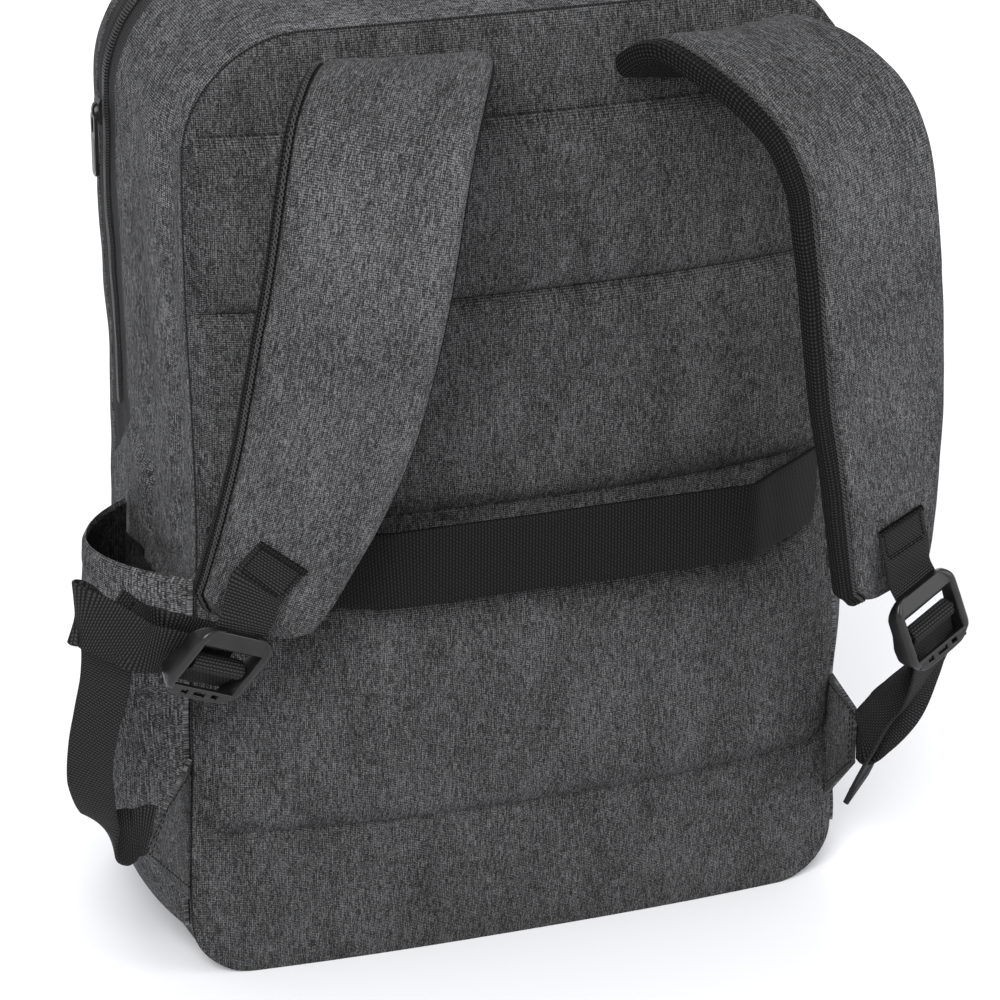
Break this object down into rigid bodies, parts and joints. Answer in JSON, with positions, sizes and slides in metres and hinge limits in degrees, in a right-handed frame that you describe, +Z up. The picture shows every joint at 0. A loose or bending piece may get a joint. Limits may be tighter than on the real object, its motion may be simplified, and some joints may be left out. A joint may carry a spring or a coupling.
{
  "type": "laptop backpack",
  "caption": "Woven grey laptop backpack standing upright, with padded back, trolley strap, curved shoulder straps, webbing adjusters, side pockets and top handle.",
  "frame": {"origin": "middle of the flat underside of the base, at the height it stands on", "axes": "+Z up, -Y towards the harness side that lies on the wearer's back, +X to the right as seen from the harness side"},
  "size_m": [0.406, 0.2675, 0.4741],
  "materials": {
    "woven_grey": "matte melange weave",
    "woven_dark": "matte melange weave",
    "zipper_tape": "matte woven tape",
    "webbing": "matte ribbed webbing",
    "air_mesh": "matte knitted mesh",
    "moulded_plastic": "satin"
  },
  "bodies": {
    "root": {"side_band": "woven_grey", "front_compartment": "woven_grey", "shoulder_pad_left": "woven_grey", "shoulder_pad_right": "woven_grey", "side_gusset_left": "woven_grey", "side_gusset_right": "woven_grey", "bottle_pocket_left": "woven_grey", "bottle_pocket_right": "woven_grey", "grab_handle": "woven_grey", "back_panel": "woven_dark", "back_pad_lower": "woven_dark", "back_pad_middle": "woven_dark", "back_pad_top": "woven_dark", "zipper_band": "zipper_tape", "zipper_coil": "webbing", "luggage_strap": "webbing", "pad_webbing_left": "webbing", "pad_webbing_right": "webbing", "adjust_webbing_left": "webbing", "adjust_webbing_right": "webbing", "shoulder_mesh_left": "air_mesh", "shoulder_mesh_right": "air_mesh", "ladder_lock_left": "moulded_plastic", "ladder_lock_right": "moulded_plastic", "zipper_slider_left": "moulded_plastic", "zipper_slider_right": "moulded_plastic"}
  },
  "joints": []
}
